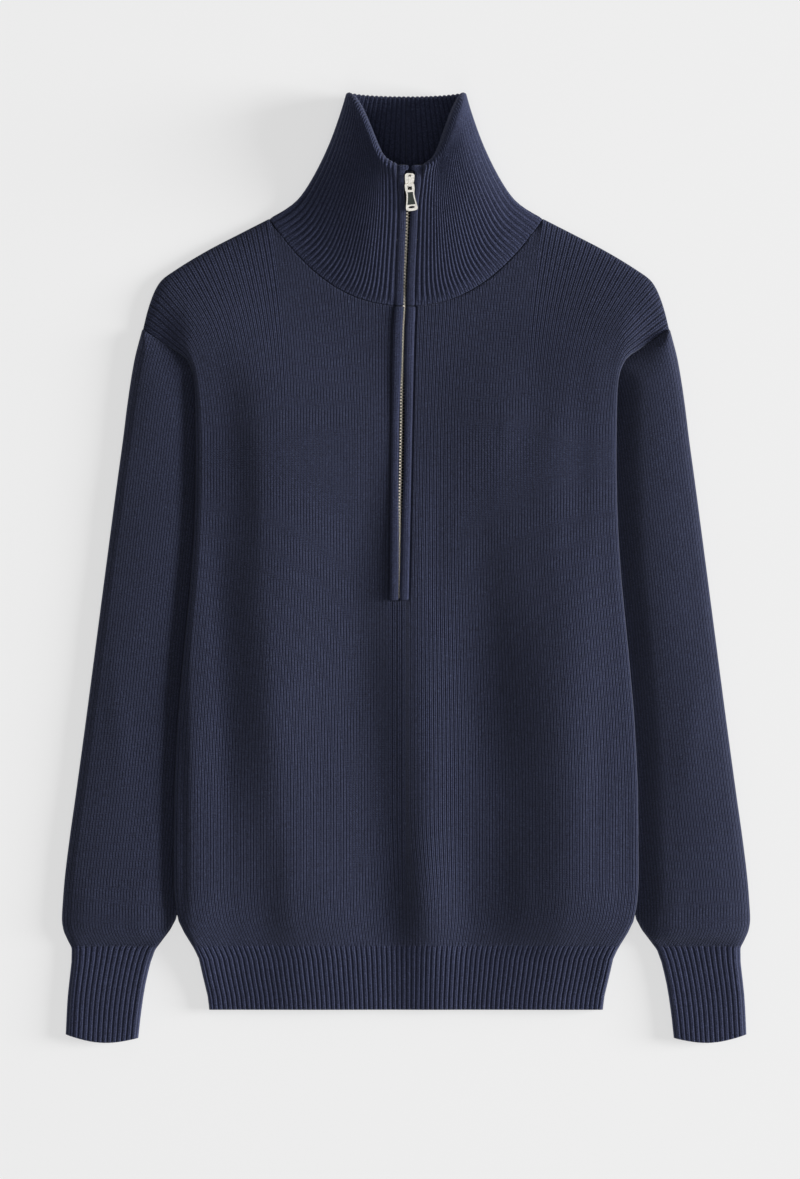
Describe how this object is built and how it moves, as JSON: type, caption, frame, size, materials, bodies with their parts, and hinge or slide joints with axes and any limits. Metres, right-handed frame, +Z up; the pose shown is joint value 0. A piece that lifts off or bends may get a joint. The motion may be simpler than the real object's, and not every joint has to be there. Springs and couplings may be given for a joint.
{
  "type": "quarter zip sweater",
  "caption": "Quarter zip sweater in dark heathered knit with a tall ribbed collar, knitted zip bands, ribbed cuffs and hem, laid out flat on its back.",
  "frame": {"origin": "centre of the footprint, on the surface that the garment lies on", "axes": "+Z up from the surface, +Y towards the collar, +X to the right of the front as seen from above"},
  "size_m": [0.5912, 0.817, 0.0479],
  "materials": {
    "knit_body": "heathered knit",
    "knit_rib": "heathered rib knit",
    "zip_tape": "woven",
    "zip_teeth": "dulled",
    "zip_metal": "polished"
  },
  "bodies": {
    "garment": {"front_panel": "knit_body", "back_panel": "knit_body", "sleeve_left": "knit_body", "sleeve_right": "knit_body", "collar": "knit_rib", "placket_band_left": "knit_rib", "placket_band_right": "knit_rib", "collar_band_left": "knit_rib", "collar_band_right": "knit_rib", "zip_tape": "zip_tape", "zip_chain": "zip_teeth", "zip_slider": "zip_metal"},
    "pull_tab": {"zip_pull_tab": "zip_metal"}
  },
  "joints": [
    {"name": "pull_tab_swing", "type": "hinge", "parent": "garment", "child": "pull_tab", "pos_m": [0.00287, 0.32869, 0.04307], "axis": [-0.9951, -0.0935, -0.0325], "range_deg": [0, 135]}
  ]
}
